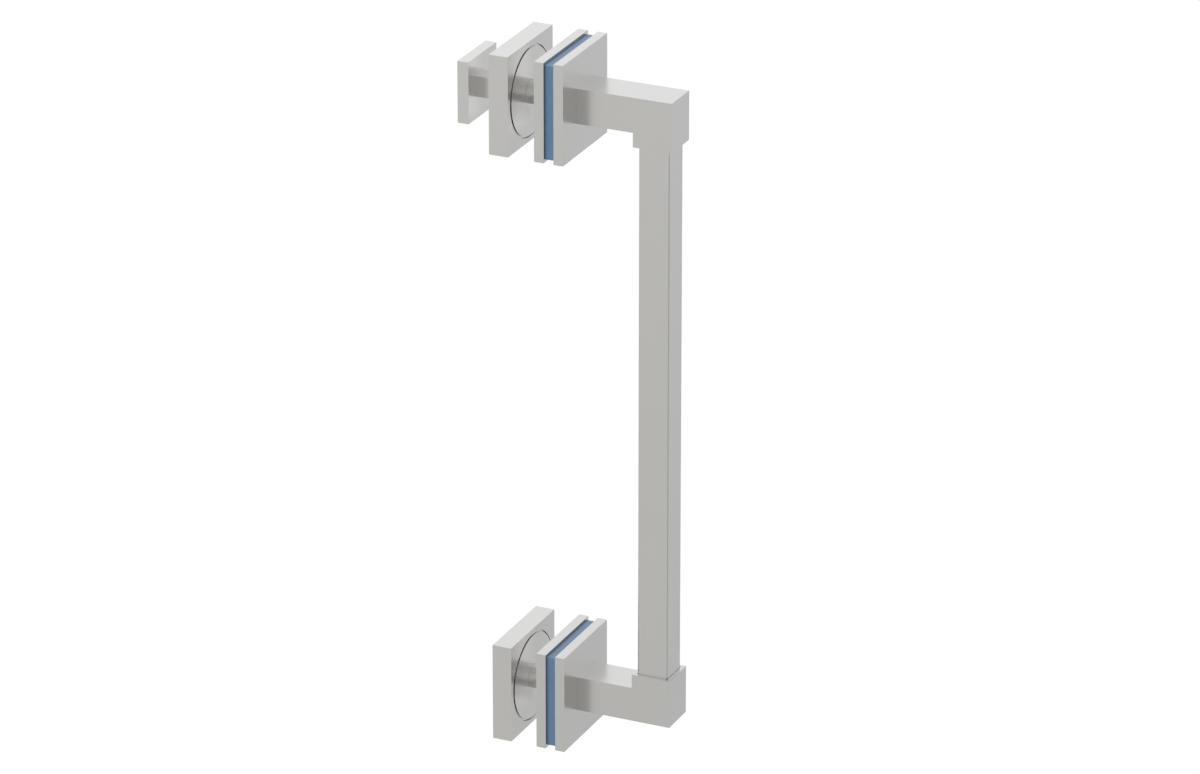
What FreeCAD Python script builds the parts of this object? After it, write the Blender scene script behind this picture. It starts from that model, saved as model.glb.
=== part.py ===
import FreeCAD, Part
import math
import os

# Shower door pull handle for a glass door, in millimetres.
# Origin: on the glass's middle plane, half-way between the two clamp axes.
# +X points out of the shower towards the grip bar, +Z up, and Y runs across the handle.

Vector = FreeCAD.Vector

# Distance between the two clamp axes, which is also that of the holes in the glass
centre_spacing = 304.8

# Clamp plates, with the gasket between them
plate_side = 50.0
plate_thickness = 5.0
gasket_thickness = 5.0
gasket_inset = 1.5

# Grip bar and the elbows that carry it
bar_side = 15.9
bar_edge_radius = 1.0
bar_reach = 39.0
arm_height = 17.5
collar_wall = 1.95
collar_reach = 16.0
socket_depth = 8.0
socket_clearance = 0.1

# Inner side: post, disc, block and knob
post_diameter = 12.0
block_stand_off = 13.4
block_side = 50.0
block_thickness = 10.0
block_back_wall = 3.0
block_rim = 2.4
disc_clearance = 0.15
disc_rise = 0.3
ring_groove_width = 0.85
ring_groove_depth = 0.6
knob_side = 31.0
knob_thickness = 5.8
shank_side = 10.3
shank_length = 15.0

# Through stud, from the arm's blind hole to the disc
stud_diameter = 8.0
stud_engagement = 12.0
stud_end_gap = 0.5
stud_key = 4.0
stud_key_depth = 5.0
sleeve_wall = 1.75
sleeve_end_gap = 0.1

# Screws
bar_screw_diameter = 3.0
block_screw_diameter = 4.0
screw_sink = 0.2
bar_screw_bite = 1.0
block_screw_bite = 1.8
knob_screw_diameter = 5.0
knob_screw_head = 9.0
knob_screw_length = 12.0
knob_screw_key = 3.0

# Clearances and edge treatment
hole_clearance = 0.25
thread_fit = 0.05
point_fit = 0.05
drill_run_out = 1.5
edge_break = 0.1
stud_end_chamfer = 0.8
drill_point_angle = 118.0
screw_key_share = 0.5
screw_depth_share = 0.4

# Places along X, from the glass's middle plane outwards
outer_plate_inner_x = gasket_thickness / 2
arm_base_x = outer_plate_inner_x + plate_thickness
bar_x = arm_base_x + bar_reach
collar_side = bar_side + 2 * (socket_clearance + collar_wall)
collar_door_x = bar_x - collar_side / 2
elbow_end_x = bar_x + collar_side / 2

# The same, inwards
inner_plate_outer_x = -gasket_thickness / 2
post_base_x = inner_plate_outer_x - plate_thickness
block_face_x = post_base_x - block_stand_off
disc_face_x = block_face_x + disc_rise
ring_groove_x = block_face_x - ring_groove_depth
disc_back_x = block_face_x - block_thickness + block_back_wall
block_back_x = block_face_x - block_thickness
knob_face_x = block_back_x - shank_length
knob_end_x = knob_face_x - knob_thickness

# Heights measured from a clamp axis
axis_z = centre_spacing / 2
arm_side_z = arm_height / 2
socket_floor_z = collar_reach - socket_depth

# Bores round the stud, all of one size, and the sleeve between stud and glass
stud_bore = stud_diameter + 2 * hole_clearance
sleeve_diameter = stud_bore + 2 * sleeve_wall

# The bar screw runs along X from the collar's door side, half-way between arm and collar end
bar_screw_z = (arm_side_z + collar_reach) / 2
bar_screw_start_x = collar_door_x + screw_sink
bar_screw_length = bar_x - bar_side / 2 + bar_screw_bite - bar_screw_start_x

# The disc's flange fills the block's recess, and a groove stays open round its narrower face
recess_diameter = block_side - 2 * block_rim
disc_face_diameter = recess_diameter - 2 * ring_groove_width
flange_diameter = recess_diameter - 2 * disc_clearance

# The block screw stands in the block's underside, with its point in the middle of the flange's rim
block_screw_x = (ring_groove_x + disc_back_x) / 2
block_screw_start_z = -block_side / 2 + screw_sink
block_screw_length = block_screw_bite - flange_diameter / 2 - block_screw_start_z

X_AXIS = Vector(1, 0, 0)
Z_AXIS = Vector(0, 0, 1)


def box_on_axis(x_low, x_high, side_y, side_z):
    """A box centred on the X axis between two X values."""
    corner = Vector(x_low, -side_y / 2, -side_z / 2)
    return Part.makeBox(x_high - x_low, side_y, side_z, corner)


def rod(x_low, x_high, diameter):
    """A round rod on the X axis between two X values."""
    return Part.makeCylinder(diameter / 2, x_high - x_low, Vector(x_low, 0, 0), X_AXIS)


def drilled_hole(x_mouth, x_floor, diameter):
    """A blind hole on the X axis with the cone that a drill leaves past its floor."""
    cone_length = diameter / 2 / math.tan(math.radians(drill_point_angle / 2))
    step = 1 if x_floor > x_mouth else -1
    barrel = rod(min(x_mouth, x_floor), max(x_mouth, x_floor), diameter)
    cone = Part.makeCone(diameter / 2, 0, cone_length, Vector(x_floor, 0, 0), X_AXIS * step)
    return barrel.fuse(cone)


def hexagon_prism(across_flats, length):
    """A hexagonal prism that stands on the origin along +X."""
    radius = across_flats / math.sqrt(3)
    corners = []
    for turn in range(7):
        angle = math.radians(60 * turn)
        corners.append(Vector(0, radius * math.cos(angle), radius * math.sin(angle)))
    return Part.Face(Part.makePolygon(corners)).extrude(X_AXIS * length)


def broken_edges(shape, sharp_below_x=-math.inf):
    """The shape with its edges chamfered by the same small amount, except those below an X value."""
    edges = [edge for edge in shape.Edges if edge.BoundBox.XMax > sharp_below_x]
    return shape.makeChamfer(edge_break, edges)


def centred_plate(x_low, x_high, side):
    """A square plate on the X axis with its edges broken."""
    return broken_edges(box_on_axis(x_low, x_high, side, side))


def pointed_rod(x_low, x_tip, diameter):
    """A round rod on the X axis that ends in a 90 degree cone point."""
    radius = diameter / 2
    profile = [
        Vector(x_low, 0, 0),
        Vector(x_low, 0, radius),
        Vector(x_tip - radius, 0, radius),
        Vector(x_tip, 0, 0),
        Vector(x_low, 0, 0),
    ]
    return Part.Face(Part.makePolygon(profile)).revolve(Vector(0, 0, 0), X_AXIS, 360)


def grub_screw(diameter, length):
    """A grub screw along +X with its key socket at the origin and a cone point."""
    key = hexagon_prism(diameter * screw_key_share, length * screw_depth_share)
    return pointed_rod(0, length, diameter).cut(key)


def screw_hole(diameter, length):
    """A plain tapped hole for a screw along +X, open behind it."""
    return rod(-drill_run_out, length, diameter + 2 * thread_fit)


def point_seat(diameter, length):
    """The cone that a grub screw's point sinks into, a little wider and deeper than the point."""
    return pointed_rod(-drill_run_out, length + point_fit, diameter + 2 * thread_fit)


def at_height(shape, height, upside_down=False):
    """A copy moved to a clamp axis, turned over first where the lower end faces up."""
    placed = shape.copy()
    if upside_down:
        placed.rotate(Vector(0, 0, 0), X_AXIS, 180)
    placed.translate(Z_AXIS * height)
    return placed


def placed_on_collar(shape):
    """A shape drawn from the origin along +X, moved to the collar's screw hole."""
    placed = shape.copy()
    placed.translate(Vector(bar_screw_start_x, 0, -bar_screw_z))
    return placed


def bar_screw():
    return placed_on_collar(grub_screw(bar_screw_diameter, bar_screw_length))


def elbow():
    """The arm and its collar in one piece, with the collar pointing down and the arm's base left sharp."""
    outline = [
        Vector(arm_base_x, 0, -arm_side_z),
        Vector(arm_base_x, 0, arm_side_z),
        Vector(elbow_end_x, 0, arm_side_z),
        Vector(elbow_end_x, 0, -collar_reach),
        Vector(collar_door_x, 0, -collar_reach),
        Vector(collar_door_x, 0, -arm_side_z),
        Vector(arm_base_x, 0, -arm_side_z),
    ]
    half_width = Vector(0, collar_side / 2, 0)
    body = Part.Face(Part.makePolygon(outline)).extrude(half_width * 2)
    body.translate(half_width * -1)
    body = broken_edges(body, sharp_below_x=arm_base_x + edge_break)
    socket_side = bar_side + 2 * socket_clearance
    socket_corner = Vector(bar_x - socket_side / 2, -socket_side / 2, -collar_reach)
    socket = Part.makeBox(socket_side, socket_side, socket_depth, socket_corner)
    stud_hole_end = arm_base_x + stud_engagement + drill_run_out
    stud_hole = drilled_hole(arm_base_x, stud_hole_end, stud_diameter + 2 * thread_fit)
    bar_screw_hole = placed_on_collar(screw_hole(bar_screw_diameter, bar_screw_length))
    return body.cut(socket).cut(stud_hole).cut(bar_screw_hole)


def grip_bar():
    """The bar, standing on both socket floors, with a dimple for each bar screw."""
    half_length = axis_z - socket_floor_z
    corner = Vector(bar_x - bar_side / 2, -bar_side / 2, -half_length)
    bar = Part.makeBox(bar_side, bar_side, 2 * half_length, corner)
    long_edges = [edge for edge in bar.Edges if edge.BoundBox.ZLength > half_length]
    bar = bar.makeFillet(bar_edge_radius, long_edges)
    seat = placed_on_collar(point_seat(bar_screw_diameter, bar_screw_length))
    bar = bar.cut(at_height(seat, axis_z))
    return bar.cut(at_height(seat, -axis_z, upside_down=True))


def outer_plate():
    plate = centred_plate(outer_plate_inner_x, arm_base_x, plate_side)
    return plate.cut(rod(outer_plate_inner_x, arm_base_x, stud_bore))


def inner_plate():
    plate = centred_plate(post_base_x, inner_plate_outer_x, plate_side)
    return plate.cut(rod(post_base_x, inner_plate_outer_x, stud_bore))


def gasket():
    pad = centred_plate(inner_plate_outer_x, outer_plate_inner_x, plate_side - 2 * gasket_inset)
    hole_diameter = sleeve_diameter + 2 * hole_clearance
    return pad.cut(rod(inner_plate_outer_x, outer_plate_inner_x, hole_diameter))


def glass_sleeve():
    x_low = inner_plate_outer_x + sleeve_end_gap
    x_high = outer_plate_inner_x - sleeve_end_gap
    return rod(x_low, x_high, sleeve_diameter).cut(rod(x_low, x_high, stud_bore))


def through_stud():
    """A threaded stud with a chamfered outer end and a key socket in its inner end."""
    x_low = disc_back_x + stud_end_gap
    x_high = arm_base_x + stud_engagement
    stud = rod(x_low, x_high, stud_diameter)
    outer_end = [edge for edge in stud.Edges if edge.BoundBox.XMin > x_high - stud_end_chamfer]
    stud = stud.makeChamfer(stud_end_chamfer, outer_end)
    key = hexagon_prism(stud_key, stud_key_depth)
    key.translate(Vector(x_low, 0, 0))
    return stud.cut(key)


def post():
    tube = rod(disc_face_x, post_base_x, post_diameter)
    return tube.cut(rod(disc_face_x, post_base_x, stud_bore))


def placed_under_block(shape):
    """A shape drawn from the origin along +X, stood upright in the block's underside."""
    placed = shape.copy()
    placed.rotate(Vector(0, 0, 0), Vector(0, 1, 0), -90)
    placed.translate(Vector(block_screw_x, 0, block_screw_start_z))
    return placed


def block_screw():
    return placed_under_block(grub_screw(block_screw_diameter, block_screw_length))


def hub_disc():
    """The disc behind the post: a narrower raised face on a flange with a dimple in its rim."""
    flange = rod(disc_back_x, ring_groove_x, flange_diameter)
    disc = flange.fuse(rod(ring_groove_x, disc_face_x, disc_face_diameter))
    seat = placed_under_block(point_seat(block_screw_diameter, block_screw_length))
    return disc.cut(seat).cut(rod(disc_back_x, disc_face_x, stud_diameter + 2 * thread_fit))


def block():
    """The square block with its round recess for the disc and the screw hole below."""
    body = centred_plate(block_back_x, block_face_x, block_side)
    recess = rod(disc_back_x, block_face_x, recess_diameter)
    hole = screw_hole(block_screw_diameter, block_screw_length)
    return body.cut(recess).cut(placed_under_block(hole))


def countersunk_form(length, spread):
    """A countersunk screw's outer form from the disc's back inwards, grown by spread."""
    radius = knob_screw_diameter / 2 + spread
    head_radius = knob_screw_head / 2 + spread
    head_depth = head_radius - radius
    inwards = X_AXIS * -1
    head = Part.makeCone(head_radius, radius, head_depth, Vector(disc_back_x, 0, 0), inwards)
    shaft_start = Vector(disc_back_x - head_depth, 0, 0)
    shaft = Part.makeCylinder(radius, length - head_depth, shaft_start, inwards)
    return head.fuse(shaft)


def knob_screw():
    """The countersunk screw whose head lies flush in the recess's floor."""
    screw = countersunk_form(knob_screw_length, 0)
    key_depth = (knob_screw_head - knob_screw_diameter) / 2
    key = hexagon_prism(knob_screw_key, key_depth)
    key.translate(Vector(disc_back_x - key_depth, 0, 0))
    return screw.cut(key)


def upper_block():
    """The upper block also has the countersunk hole for the knob's screw."""
    hole = countersunk_form(block_back_wall + drill_run_out, thread_fit)
    return block().cut(hole)


def knob():
    """Square head and shank in one piece, tapped from the shank's end."""
    head = broken_edges(box_on_axis(knob_end_x, knob_face_x, knob_side, knob_side))
    shank = box_on_axis(knob_face_x - knob_thickness / 2, block_back_x, shank_side, shank_side)
    hole_end = disc_back_x - knob_screw_length - drill_run_out
    hole = drilled_hole(block_back_x, hole_end, knob_screw_diameter + 2 * thread_fit)
    return head.fuse(shank).removeSplitter().cut(hole)


def handle():
    """Every piece of the handle by name."""
    pieces = {"grip_bar": grip_bar()}
    for end, height in (("upper", axis_z), ("lower", -axis_z)):
        facing_up = end == "lower"
        pieces[end + "_elbow"] = at_height(elbow(), height, facing_up)
        pieces[end + "_bar_screw"] = at_height(bar_screw(), height, facing_up)
        pieces[end + "_outer_plate"] = at_height(outer_plate(), height)
        pieces[end + "_gasket"] = at_height(gasket(), height)
        pieces[end + "_glass_sleeve"] = at_height(glass_sleeve(), height)
        pieces[end + "_inner_plate"] = at_height(inner_plate(), height)
        pieces[end + "_through_stud"] = at_height(through_stud(), height)
        pieces[end + "_post"] = at_height(post(), height)
        pieces[end + "_hub_disc"] = at_height(hub_disc(), height)
        pieces[end + "_block_screw"] = at_height(block_screw(), height)
    pieces["upper_block"] = at_height(upper_block(), axis_z)
    pieces["lower_block"] = at_height(block(), -axis_z)
    pieces["knob"] = at_height(knob(), axis_z)
    pieces["knob_screw"] = at_height(knob_screw(), axis_z)
    return pieces


os.makedirs("parts", exist_ok=True)
for name, shape in handle().items():
    shape.exportStep("parts/" + name + ".step")
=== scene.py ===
import math

import bpy
from mathutils import Euler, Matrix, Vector


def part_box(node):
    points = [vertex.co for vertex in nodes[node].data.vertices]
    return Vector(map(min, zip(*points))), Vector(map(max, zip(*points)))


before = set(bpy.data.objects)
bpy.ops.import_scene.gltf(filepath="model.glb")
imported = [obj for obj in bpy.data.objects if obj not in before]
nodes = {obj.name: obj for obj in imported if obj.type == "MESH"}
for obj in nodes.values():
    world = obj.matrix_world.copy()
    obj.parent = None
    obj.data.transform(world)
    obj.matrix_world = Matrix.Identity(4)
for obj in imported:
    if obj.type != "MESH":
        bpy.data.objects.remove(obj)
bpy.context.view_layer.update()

# The ways that sides face
towards_bar = (1, 0, 0)
towards_shower = (-1, 0, 0)
towards_front = (0, -1, 0)
upwards = (0, 0, 1)

# Where the photograph was taken from: degrees round and above the handle, and metres from its origin
view_azimuth = 24.5265
view_elevation = 22.9201
camera_place = Vector((1.22014, -2.64095, 1.23455))
camera_reach = 20.0
lens_mm = 197.792
sensor_mm = 36.0

# How closely the patterns on the surfaces follow each other, and how much finer streaks are upwards
grain_per_metre = 1500.0
cloud_per_metre = 45.0
streak_per_metre = 160.0
streak_fineness = 8.0
plain_detail = 2.0
cloud_detail = 3.0

# Satin metal: the share of light that it reflects face on, the darkest and lightest shade of that tone,
# and how much each pattern adds to the shade
satin_tone = (0.526, 0.52, 0.513)
satin_shades = (0.965, 1.035)
cloud_share = 0.4
streak_share = 0.35
grain_share = 0.25

# Its roughness and fine relief. A relief is a strength and a depth in metres.
satin_roughness = 0.235
satin_roughness_spread = 0.03
satin_relief = (0.25, 0.00001)
grain_in_relief = 0.6
streaks_in_relief = 0.4

# Painted light: the satin metal is a little brighter on these pieces, to lift the light they reflect
block_painted_light_share = 1.02
knob_painted_light_share = 1.03
post_painted_light_share = 1.06
disc_painted_light_share = 1.07

# A finely broken edge is shaded as part of a side beside it: how strongly it leans to the X, Y and Z sides,
# and how many times that is cubed
edge_lean = (1.0, 1.4, 1.2)
edge_cubings = 3

# Painted highlights and painted shade on the metal: how closely one keeps to its side, how bright each is
# beside the metal round it, and how far it reaches in metres
side_tightness = 20.0
# Painted highlights: the faces towards the shower, the knob's face and the bar's front foot are made
# brighter
back_painted_highlight = 1.35
knob_face_painted_highlight = 1.07
foot_painted_highlight = 1.12
foot_height = 0.001
# Painted contact shade: a thin darker band where each post stands on its disc and each arm on its plate
seam_half_width = 0.0002
post_seam_painted_shade = 0.82
arm_seam_painted_shade = 0.93

# Painted shade: a soft darker band on a disc's face, just under the mirror image of its post. Downwards it
# rises to its full tone, keeps it and fades out. Across the disc it tapers off as it comes to the post's
# middle.
under_post_painted_shade = 0.82
under_post_rise = 0.0015
under_post_full = 0.004
under_post_taper = 0.006
under_post_end = 0.002

# For each end, how steeply the mirror image climbs, and how far below it the band has faded out
under_posts = {"upper": (0.41, 0.0115), "lower": (0.525, 0.0095)}

# Plain steel of the studs and screws
screw_tone = (0.33, 0.33, 0.325)
screw_shades = (0.9, 1.1)
screw_cloud_per_metre = 180.0
screw_roughness = 0.3
screw_relief = (0.3, 0.00001)

# Blue rubber of the gaskets
gasket_tone = (0.127, 0.211, 0.342)
gasket_shades = (0.96, 1.04)
# Painted sheen: the gasket's top is greyer, in place of the light it reflects
gasket_top_painted_sheen = (0.142, 0.205, 0.3)
gasket_cloud_per_metre = 135.0
gasket_roughness = 0.5
gasket_relief = (0.3, 0.00002)
gasket_shine = 0.3

# Nylon of the sleeves
nylon_tone = (0.8, 0.8, 0.77)
nylon_shades = (0.97, 1.0)
nylon_cloud_per_metre = 360.0
nylon_roughness = 0.35

# How much rougher those three get where their pattern is strongest
roughness_spread = 0.1

# The room that the metal mirrors: its light at the horizon, how that rises upwards and falls off above and
# below, and how much more comes from the front
horizon_light = 1.1125
rise_of_light = 0.458
fall_of_light = 0.5
front_light = 0.05

# Its tint in front and behind: the share of the second half-way, and how fast that grows backwards
front_tint = (1.0, 1.0, 0.97)
back_tint = (0.99, 1.0, 1.005)
tint_middle = 0.5
tint_slope = 0.6

# Its one shaded side: degrees round from the front, how dark it is, where it begins and how softly
shade_azimuth = 65.5
shade_depth = 0.27
shade_edge = 0.74
shade_softness = 0.1

# Soft places in that room: the way to each, how much brighter it is than the rest, and how tight it is
window = ((-0.4, 0.89, -0.24), 0.75, 12.0)
canopy = ((0.4, 0.72, 0.57), 0.37, 8.0)
ceiling = ((-0.39, 0.6, 0.7), 0.08, 8.0)
front_lamp = ((-0.39, -0.83, 0.43), 0.12, 12.0)
door_glow = ((0.4, -0.84, -0.37), 0.055, 12.0)
dim_corner = ((0.4, -0.6, 0.7), -0.22, 10.0)
soft_places = (window, canopy, ceiling, front_lamp, door_glow, dim_corner)

# Plain light on what isn't a mirror
fill_light = 0.66
white = (1.0, 1.0, 1.0)

# Soft boxes that add to it: the place of each and its side in metres, and its power in watts
soft_boxes = {
    "key_lamp": ((-1.2, -1.3, 2.4), 3.2, 60.0),
    "top_lamp": ((0.0, -0.3, 2.6), 3.0, 15.0),
}

# Floor below the hanging handle, its glow towards the lens, and its light in mirrors
floor_level = -0.6
floor_half_side = 0.7
floor_tone = (0.8, 0.8, 0.8)
floor_glow = 0.8
floor_mirrored = 0.85


class Signal:
    """One output of a shader node. Arithmetic on it adds the Math nodes that do the same."""

    def __init__(self, shader, socket):
        self.shader = shader
        self.socket = socket

    def maths(self, operation, *values):
        return self.shader.add("Math", {"operation": operation}, dict(enumerate(values)))

    def __add__(self, other):
        return self.maths("ADD", self, other)

    def __radd__(self, other):
        return self.maths("ADD", other, self)

    def __sub__(self, other):
        return self.maths("SUBTRACT", self, other)

    def __rsub__(self, other):
        return self.maths("SUBTRACT", other, self)

    def __mul__(self, other):
        return self.maths("MULTIPLY", self, other)

    def __rmul__(self, other):
        return self.maths("MULTIPLY", other, self)

    def __pow__(self, other):
        return self.maths("POWER", self, other)

    def __abs__(self):
        return self.maths("ABSOLUTE", self)

    def at_least(self, lowest):
        return self.maths("MAXIMUM", self, lowest)

    def at_most(self, highest):
        return self.maths("MINIMUM", self, highest)

    def is_below(self, limit):
        return self.maths("LESS_THAN", self, limit)


class Shader:
    """The node tree of a material or the world, filled from code."""

    def __init__(self, owner):
        owner.use_nodes = True
        self.tree = owner.node_tree
        self.tree.nodes.clear()

    def add(self, kind, settings=None, sockets=None, output=0):
        """Adds one node, sets it up, feeds its sockets with values or signals and gives one output."""
        node = self.tree.nodes.new("ShaderNode" + kind)
        for name, value in (settings or {}).items():
            setattr(node, name, value)
        for key, value in (sockets or {}).items():
            if isinstance(value, Signal):
                self.tree.links.new(value.socket, node.inputs[key])
            else:
                node.inputs[key].default_value = value
        return Signal(self, node.outputs[output])

    def vector_maths(self, operation, *vectors, output=0):
        return self.add("VectorMath", {"operation": operation}, dict(enumerate(vectors)), output)

    def part(self, vector, axis):
        """One part of a vector, along X, Y or Z."""
        return self.add("SeparateXYZ", sockets={"Vector": vector}, output=axis)

    def blend_colours(self, share, first, second):
        return self.add("Mix", {"data_type": "RGBA"}, {0: share, 6: first, 7: second}, output=2)

    def add_output(self, kind, surface):
        node = self.tree.nodes.new("ShaderNodeOutput" + kind)
        self.tree.links.new(surface.socket, node.inputs["Surface"])


def opaque(tone):
    return (*tone, 1.0)


def scaled(tone, share):
    return tuple(part * share for part in tone)


def new_material(name):
    material = bpy.data.materials.new(name)
    return material, Shader(material)


def principled(shader, sockets):
    surface = shader.add("BsdfPrincipled", sockets=sockets)
    shader.add_output("Material", surface)


def noise(shader, place, per_metre, detail=plain_detail):
    return shader.add("TexNoise", sockets={"Vector": place, "Scale": per_metre, "Detail": detail})


def ramp(signal, start, length):
    """Climbs from 0 where a signal starts to 1 a length further on."""
    return ((signal - start) * (1 / length)).at_least(0.0).at_most(1.0)


def shaded(shader, share, tone, shades):
    """A tone that wanders between its darkest and its lightest shade."""
    darkest, lightest = shades
    return shader.blend_colours(share, opaque(scaled(tone, darkest)), opaque(scaled(tone, lightest)))


def fine_relief(shader, height, relief, base=None):
    """A normal that a pattern's height tilts a little, on the surface's own normal or on another base."""
    strength, depth = relief
    sockets = {"Strength": strength, "Distance": depth, "Height": height}
    if base is not None:
        sockets["Normal"] = base
    return shader.add("Bump", sockets=sockets, output="Normal")


def object_place(shader):
    return shader.add("TexCoord", output="Object")


def streaked_place(shader):
    """Object coordinates squeezed upwards, so that noise on them turns into fine level streaks."""
    sockets = {"Vector": object_place(shader), "Scale": (1.0, 1.0, streak_fineness)}
    return shader.add("Mapping", {"vector_type": "POINT"}, sockets)


def facing(shader, direction, towards):
    """How far a direction turns towards one side: 1 there, 0 from a right angle on."""
    side = tuple(Vector(towards).normalized())
    return shader.vector_maths("DOT_PRODUCT", direction, side, output="Value").at_least(0.0)


def facing_out(shader):
    return shader.add("NewGeometry", output="True Normal")


def squared_normal(shader):
    """The way a square piece's side faces. A finely broken edge counts as part of the side beside it."""
    way = shader.vector_maths("MULTIPLY", facing_out(shader), edge_lean)
    for cubing in range(edge_cubings):
        squared = shader.vector_maths("MULTIPLY", way, way)
        way = shader.vector_maths("MULTIPLY", squared, way)
    return shader.vector_maths("NORMALIZE", way)


def side_mark(towards):
    """A mask for the sides that face one way."""
    return lambda shader: facing(shader, facing_out(shader), towards) ** side_tightness


def foot_mark(towards, height):
    """A mask for the part of the sides facing one way that lies below a height."""
    def mask(shader):
        up = shader.part(object_place(shader), "Z")
        return side_mark(towards)(shader) * up.is_below(height)
    return mask


def seam_mark(place):
    """A mask for the thin band round a place along X, where one piece stands on another."""
    def mask(shader):
        out = shader.part(object_place(shader), "X")
        return abs(out - place).is_below(seam_half_width)
    return mask


def front_seam_mark(place):
    """The same band on the front side alone."""
    return lambda shader: seam_mark(place)(shader) * side_mark(towards_front)(shader)


def under_post_mark(underside, climb, fade_end):
    """A soft mask for the painted shade band on a disc's face, just under the mirror image of its post."""
    def mask(shader):
        place = object_place(shader)
        across = shader.part(place, "Y")
        below = underside - across * climb - shader.part(place, "Z")
        faded = ramp(below, under_post_full, fade_end - under_post_full)
        tapered = ramp(across, under_post_end - under_post_taper, under_post_taper)
        return ramp(below, 0.0, under_post_rise) * (1.0 - faded) * (1.0 - tapered)
    return mask


def satin_metal(name, tone_share=1.0, square=False, marks=()):
    """Fine satin metal: a faint grain, level streaks, soft clouds, and marks of painted highlight or painted
    shade.
    """
    material, shader = new_material(name)
    place = object_place(shader)
    grain = noise(shader, place, grain_per_metre)
    cloud = noise(shader, place, cloud_per_metre, cloud_detail)
    streaks = noise(shader, streaked_place(shader), streak_per_metre)
    tone = scaled(satin_tone, tone_share)
    shade = cloud * cloud_share + streaks * streak_share + grain * grain_share
    colour = shaded(shader, shade, tone, satin_shades)
    # Painted highlights and painted shade, blended into the colour over their masks
    for mask, mark_tone in marks:
        colour = shader.blend_colours(mask(shader), colour, opaque(scaled(tone, mark_tone)))
    smoothest = satin_roughness - satin_roughness_spread
    roughness = smoothest + grain * satin_roughness_spread + streaks * satin_roughness_spread
    height = grain * grain_in_relief + streaks * streaks_in_relief
    normal = fine_relief(shader, height, satin_relief, squared_normal(shader) if square else None)
    principled(shader, {"Base Color": colour, "Metallic": 1.0, "Roughness": roughness, "Normal": normal})
    return material


def screw_steel():
    """Plain darker steel of the studs and screws."""
    material, shader = new_material("screw_steel")
    place = object_place(shader)
    grain = noise(shader, place, grain_per_metre)
    cloud = noise(shader, place, screw_cloud_per_metre)
    principled(shader, {
        "Base Color": shaded(shader, cloud, screw_tone, screw_shades),
        "Metallic": 1.0,
        "Roughness": screw_roughness + grain * roughness_spread,
        "Normal": fine_relief(shader, grain, screw_relief),
    })
    return material


def blue_rubber():
    """Smooth blue gasket with faint cloudy shades, and a painted greyish sheen on top."""
    material, shader = new_material("blue_rubber")
    place = object_place(shader)
    grain = noise(shader, place, grain_per_metre)
    cloud = noise(shader, place, gasket_cloud_per_metre)
    sides = shaded(shader, cloud, gasket_tone, gasket_shades)
    principled(shader, {
        "Base Color": shader.blend_colours(side_mark(upwards)(shader), sides, opaque(gasket_top_painted_sheen)),
        "Roughness": gasket_roughness + grain * roughness_spread,
        "Specular IOR Level": gasket_shine,
        "Normal": fine_relief(shader, grain, gasket_relief),
    })
    return material


def clear_nylon():
    """Milky sleeve round the stud."""
    material, shader = new_material("clear_nylon")
    cloud = noise(shader, object_place(shader), nylon_cloud_per_metre)
    principled(shader, {
        "Base Color": shaded(shader, cloud, nylon_tone, nylon_shades),
        "Roughness": nylon_roughness + cloud * roughness_spread,
    })
    return material


def dress(names, material):
    """Gives CAD nodes one material in each of their slots."""
    for name in names:
        for slot in nodes[name].material_slots:
            slot.material = material


def both_ends(*pieces):
    return [end + "_" + piece for end in ("upper", "lower") for piece in pieces]


def dress_bar():
    """The bar, with a painted highlight on its front just above the lower collar."""
    low_collar_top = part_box("lower_elbow")[1][2]
    foot = (foot_mark(towards_front, low_collar_top + foot_height), foot_painted_highlight)
    dress(["grip_bar"], satin_metal("satin_bar", marks=[foot]))


def dress_elbows():
    """The elbows, with a faint painted shade at the seam where each arm stands on its plate."""
    arm_base = (front_seam_mark(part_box("lower_elbow")[0][0]), arm_seam_painted_shade)
    dress(both_ends("elbow"), satin_metal("satin_elbow", square=True, marks=[arm_base]))


def dress_square_pieces():
    """The plates, blocks and knob: painted highlights towards the shower and a little on the knob's face;
    the blocks and knob a little brighter as painted light.
    """
    back = (side_mark(towards_shower), back_painted_highlight)
    knob_face = (side_mark(towards_bar), knob_face_painted_highlight)
    dress(both_ends("outer_plate", "inner_plate"), satin_metal("satin_plate", square=True, marks=[back]))
    dress(both_ends("block"), satin_metal("satin_block", block_painted_light_share, square=True, marks=[back]))
    dress(["knob"], satin_metal("satin_knob", knob_painted_light_share, square=True, marks=[knob_face, back]))


def dress_turned_pieces():
    """The posts, with painted shade at the seam where each stands on its disc, and the discs, with a painted
    shade band under the post; both a little brighter as painted light.
    """
    post_base = (seam_mark(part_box("lower_post")[0][0]), post_seam_painted_shade)
    dress(both_ends("post"), satin_metal("turned_post", post_painted_light_share, marks=[post_base]))
    for end, (climb, fade_end) in under_posts.items():
        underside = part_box(end + "_post")[0][2]
        band = (under_post_mark(underside, climb, fade_end), under_post_painted_shade)
        dress([end + "_hub_disc"], satin_metal(end + "_disc", disc_painted_light_share, marks=[band]))


def dress_handle():
    dress_bar()
    dress_elbows()
    dress_square_pieces()
    dress_turned_pieces()
    dress(both_ends("through_stud", "block_screw", "bar_screw") + ["knob_screw"], screw_steel())
    dress(both_ends("gasket"), blue_rubber())
    dress(both_ends("glass_sleeve"), clear_nylon())


def lens_rays(shader):
    """Masks for the rays that the lens sees directly, and for those it sees in a mirror or through glass."""
    seen, glossy, through = (
        shader.add("LightPath", output=name)
        for name in ("Is Camera Ray", "Is Glossy Ray", "Is Transmission Ray")
    )
    return seen, (glossy + through).at_most(1.0)


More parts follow.
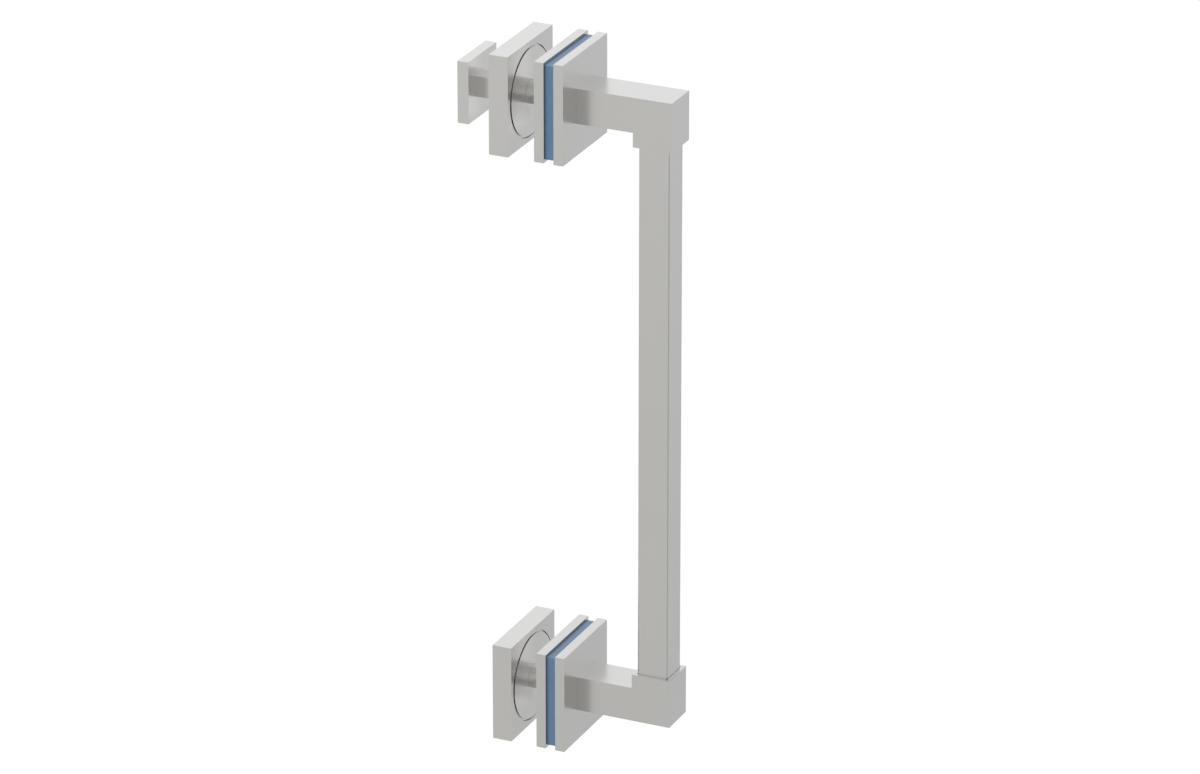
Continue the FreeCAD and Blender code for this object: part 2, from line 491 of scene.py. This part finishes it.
def mirrored_room(shader):
    """The pale room that the metal mirrors, with its soft places and its one shaded side."""
    direction = shader.add("TexCoord", output="Generated")
    depth = shader.part(direction, "Y")
    height = shader.part(direction, "Z")
    angle = math.radians(shade_azimuth)
    to_shade = facing(shader, direction, (math.sin(angle), -math.cos(angle), 0.0))
    plain = horizon_light + height * rise_of_light - height * height * fall_of_light - depth * front_light
    strength = plain - ramp(to_shade, shade_edge, shade_softness) * shade_depth
    for side, light, tightness in soft_places:
        strength = strength + facing(shader, direction, side) ** tightness * light
    tint = shader.blend_colours(depth * tint_slope + tint_middle, opaque(front_tint), opaque(back_tint))
    return tint, strength


def light_room():
    """White towards the lens, the pale room in the metal, and a plain fill on everything else."""
    world = bpy.data.worlds.new("studio")
    bpy.context.scene.world = world
    shader = Shader(world)
    seen, mirrored_rays = lens_rays(shader)
    plain_light = seen + (1.0 - seen) * fill_light
    plain = shader.add("Background", sockets={"Color": opaque(white), "Strength": plain_light})
    tint, room_light = mirrored_room(shader)
    mirrored = shader.add("Background", sockets={"Color": tint, "Strength": room_light})
    shader.add_output("World", shader.add("MixShader", sockets={0: mirrored_rays, 1: plain, 2: mirrored}))


def soft_box(name, place, side, power):
    """A square soft box that looks at the handle and lights what isn't a mirror."""
    data = bpy.data.lights.new(name, "AREA")
    data.shape = "SQUARE"
    data.size = side
    data.energy = power
    lamp = bpy.data.objects.new(name, data)
    lamp.location = place
    lamp.rotation_euler = Vector(place).to_track_quat("Z", "Y").to_euler()
    lamp.visible_glossy = False
    bpy.context.scene.collection.objects.link(lamp)


def lay_floor():
    """A pale floor far below, since the handle hangs on a door."""
    bpy.ops.mesh.primitive_plane_add(size=2 * floor_half_side, location=(0.0, 0.0, floor_level))
    floor = bpy.context.active_object
    floor.name = "floor"
    material, shader = new_material("pale_floor")
    seen, mirrored_rays = lens_rays(shader)
    matt = shader.add("BsdfDiffuse", sockets={"Color": opaque(floor_tone)})
    glow = shader.add("Emission", sockets={"Strength": seen * floor_glow})
    lit = shader.add("AddShader", sockets={0: matt, 1: glow})
    mirrored = shader.add("Emission", sockets={"Strength": floor_mirrored})
    shader.add_output("Material", shader.add("MixShader", sockets={0: mirrored_rays, 1: lit, 2: mirrored}))
    floor.data.materials.append(material)


def place_camera():
    data = bpy.data.cameras.new("camera")
    data.sensor_fit = "HORIZONTAL"
    data.sensor_width = sensor_mm
    data.lens = lens_mm
    data.clip_end = camera_reach
    camera = bpy.data.objects.new("camera", data)
    camera.location = camera_place
    camera.rotation_euler = Euler((math.radians(90.0 - view_elevation), 0.0, math.radians(view_azimuth)))
    bpy.context.scene.collection.objects.link(camera)
    bpy.context.scene.camera = camera


dress_handle()
light_room()
for box_name, (box_place, box_side, box_power) in soft_boxes.items():
    soft_box(box_name, box_place, box_side, box_power)
lay_floor()
place_camera()
bpy.context.scene.view_settings.view_transform = "Standard"
